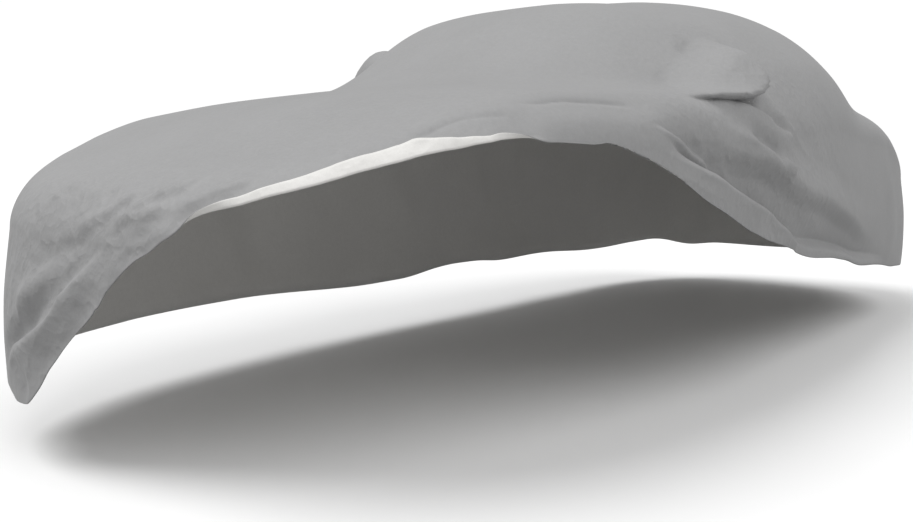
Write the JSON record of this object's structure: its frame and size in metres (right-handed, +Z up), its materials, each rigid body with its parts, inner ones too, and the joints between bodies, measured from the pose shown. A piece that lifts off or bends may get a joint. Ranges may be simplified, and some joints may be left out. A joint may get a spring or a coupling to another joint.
{
  "type": "fitted car cover",
  "caption": "Soft fitted cover for a two-door car, drawn back from one front corner, with bulges over the door mirrors.",
  "frame": {"origin": "the point on the cover's inner face that rests on the middle of the roof", "axes": "+Z up, +Y towards the tail, +X towards the side whose front corner is uncovered"},
  "size_m": [1.9759, 4.7209, 1.2511],
  "materials": {
    "outer_cloth": "mid grey laid-fibre cloth with a faint soft sheen, its inner face a warm white"
  },
  "bodies": {
    "root": {"cover_cloth": "outer_cloth"}
  },
  "joints": []
}
